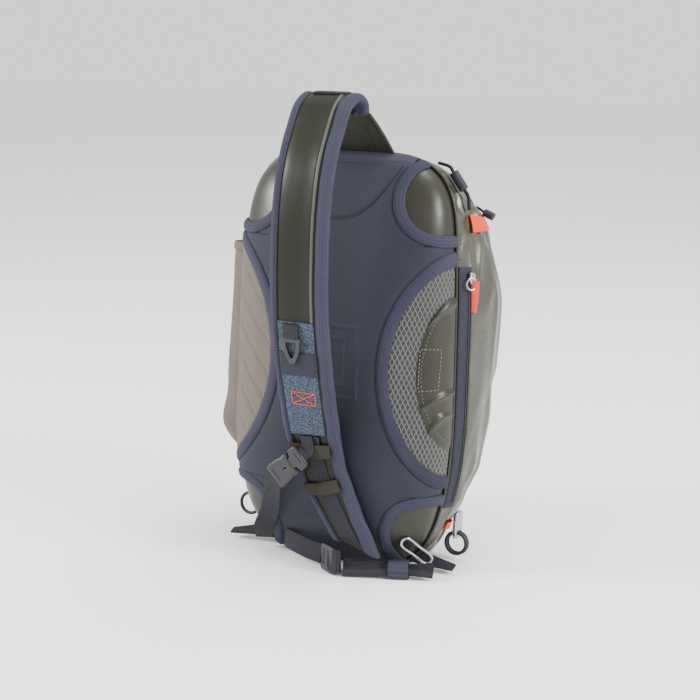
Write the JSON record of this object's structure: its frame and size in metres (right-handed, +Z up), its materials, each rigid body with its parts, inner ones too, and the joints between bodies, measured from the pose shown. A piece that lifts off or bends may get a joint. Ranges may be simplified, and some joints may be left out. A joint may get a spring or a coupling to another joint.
{
  "type": "fishing tackle sling bag",
  "caption": "Fishing tackle sling bag with a padded shoulder strap, moulded back panel, side bottle pocket and zips, standing upright.",
  "frame": {"origin": "on the floor under the bag, on the flat of its foot", "axes": "+Z up, +X to the right of someone who faces the back panel, +Y from the back panel to the bag's front"},
  "size_m": [0.3194, 0.2621, 0.5163],
  "materials": {
    "olive_laminate": "satin coated cloth",
    "slate_cloth": "matte stretch cloth",
    "binding_tape": "ribbed tape",
    "silver_mesh": "diamond mesh",
    "taupe_mesh": "fine mesh",
    "felt": "speckled felt",
    "webbing": "ribbed webbing",
    "elastic": "woven elastic",
    "orange_laminate": "satin coated cloth",
    "buckle_plastic": "satin moulding",
    "rubber": "matte",
    "bare_metal": "satin plated"
  },
  "bodies": {
    "root": {"back_panel": "slate_cloth", "binding_arc_left": "binding_tape", "binding_arc_right": "binding_tape", "binding_corner_bottom_left": "binding_tape", "binding_corner_bottom_right": "binding_tape", "binding_corner_top_left": "binding_tape", "binding_corner_top_right": "binding_tape", "binding_top": "binding_tape", "bottle_pocket": "taupe_mesh", "bottle_pocket_rim": "binding_tape", "buckle_prong": "buckle_plastic", "buckle_socket": "buckle_plastic", "buckle_webbing": "webbing", "corner_tab_left": "webbing", "corner_tab_right": "webbing", "cross_webbing": "webbing", "d_ring": "buckle_plastic", "d_ring_loop": "webbing", "elastic_band_lower": "elastic", "elastic_band_upper": "elastic", "felt_patch": "felt", "felt_patch_tape": "slate_cloth", "foot_flap_orange": "orange_laminate", "foot_webbing": "webbing", "front_pocket": "olive_laminate", "front_pocket_tape": "slate_cloth", "front_shell": "olive_laminate", "grab_cord": "webbing", "grab_grip": "rubber", "hank_keeper": "binding_tape", "ladder_buckle": "buckle_plastic", "ladder_tab": "webbing", "ladder_webbing": "webbing", "left_pull_ring": "rubber", "left_pull_slider": "bare_metal", "lid_flap_orange": "orange_laminate", "lid_pull_cord": "webbing", "lid_pull_grip": "rubber", "mesh_wing_left": "taupe_mesh", "mesh_wing_right": "silver_mesh", "rear_shell": "olive_laminate", "right_pull_ring_inner": "rubber", "right_pull_ring_outer": "rubber", "right_pull_slider": "bare_metal", "seam_piping": "olive_laminate", "shoulder_tab": "webbing", "side_zip_coil": "buckle_plastic", "side_zip_pull": "orange_laminate", "side_zip_ring": "bare_metal", "side_zip_slider": "bare_metal", "side_zip_tape": "slate_cloth", "strap_binding_left": "binding_tape", "strap_binding_right": "binding_tape", "strap_pad": "olive_laminate", "strap_top_tab": "webbing", "webbing_hank": "webbing", "wing_fan_right": "olive_laminate", "wire_clip": "bare_metal", "yoke": "olive_laminate"}
  },
  "joints": []
}
